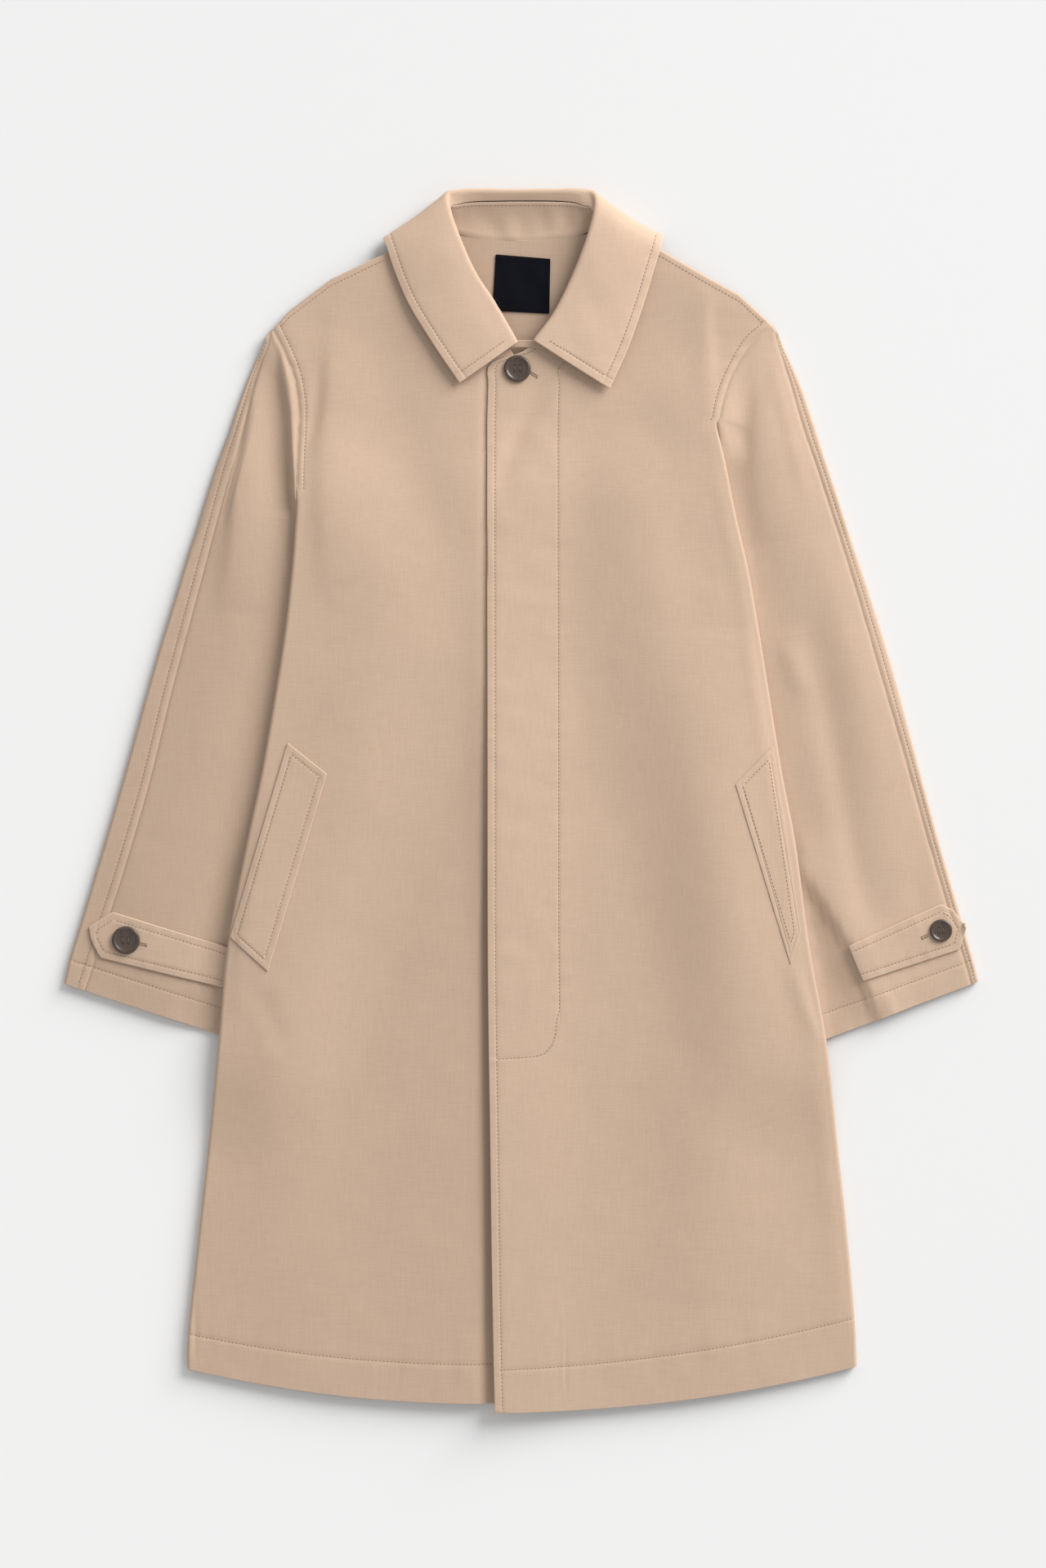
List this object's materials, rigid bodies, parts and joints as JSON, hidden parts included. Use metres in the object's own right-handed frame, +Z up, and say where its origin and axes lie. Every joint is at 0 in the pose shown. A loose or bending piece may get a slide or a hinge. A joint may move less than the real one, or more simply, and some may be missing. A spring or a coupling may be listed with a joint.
{
  "type": "trench coat",
  "caption": "Knee-length single-breasted coat with turned-down collar, hidden button fly, slanted welt pockets and cuff straps, laid flat.",
  "frame": {"origin": "middle of the coat's outline seen from above, on the surface that it lies on", "axes": "+X towards the viewer's right (the wearer's left), +Y from hem to collar, +Z up out of the surface"},
  "size_m": [0.8176, 1.092, 0.0241],
  "materials": {
    "cloth": "tightly woven cotton blend, matt",
    "button": "dark brown horn-look resin, half gloss",
    "label": "navy woven label, plain"
  },
  "bodies": {
    "root": {"back": "cloth", "front_right": "cloth", "front_left": "cloth", "sleeve_right_front": "cloth", "sleeve_right_back": "cloth", "sleeve_left_front": "cloth", "sleeve_left_back": "cloth", "collar_fall": "cloth", "collar_stand": "cloth", "pocket_welt_right": "cloth", "pocket_welt_left": "cloth", "cuff_strap_right": "cloth", "cuff_strap_left": "cloth", "neck_button": "button", "cuff_button_right": "button", "cuff_button_left": "button", "neck_label": "label"}
  },
  "joints": []
}
